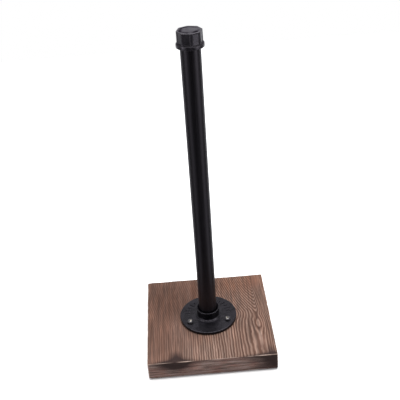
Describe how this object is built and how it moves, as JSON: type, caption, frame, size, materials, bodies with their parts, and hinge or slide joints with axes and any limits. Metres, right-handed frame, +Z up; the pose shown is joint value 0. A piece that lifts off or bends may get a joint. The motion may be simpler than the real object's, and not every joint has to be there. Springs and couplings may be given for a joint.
{
  "type": "paper towel holder",
  "caption": "Free-standing paper towel holder: a square wooden base with a round floor flange, an upright steel pipe post and an octagonal pipe cap.",
  "frame": {"origin": "on the surface that the pads rest on, under the middle of the base, on the post's axis", "axes": "+Z up along the post, -Y towards the front, +X to the right as seen from the front"},
  "size_m": [0.155, 0.155, 0.3988],
  "materials": {
    "torched_wood": "wire-brushed softwood, torched and stained, satin",
    "flange_iron": "matte black cast iron",
    "screw_steel": "dark plated steel",
    "pipe_paint": "satin black paint",
    "cap_iron": "satin black cast iron",
    "pad_rubber": "matte"
  },
  "bodies": {
    "stand": {"wooden_base": "torched_wood", "floor_flange": "flange_iron", "flange_screw_1": "screw_steel", "flange_screw_2": "screw_steel", "flange_screw_3": "screw_steel", "foot_pad_front_left": "pad_rubber", "foot_pad_front_right": "pad_rubber", "foot_pad_back_left": "pad_rubber", "foot_pad_back_right": "pad_rubber"},
    "post": {"pipe": "pipe_paint"},
    "cap": {"pipe_cap": "cap_iron"}
  },
  "joints": [
    {"name": "post_rise", "type": "slide", "parent": "stand", "child": "post", "axis": [0, 0, 1], "range_m": [0, 0.0117]},
    {"name": "cap_turn", "type": "hinge", "parent": "post", "child": "cap", "pos_m": [0, 0, 0.39], "axis": [0, 0, 1], "range_deg": [0, 2322]}
  ],
  "couplings": [
    {"joint": "cap_turn", "follows": "post_rise", "rad_per_m": 3463.2}
  ]
}
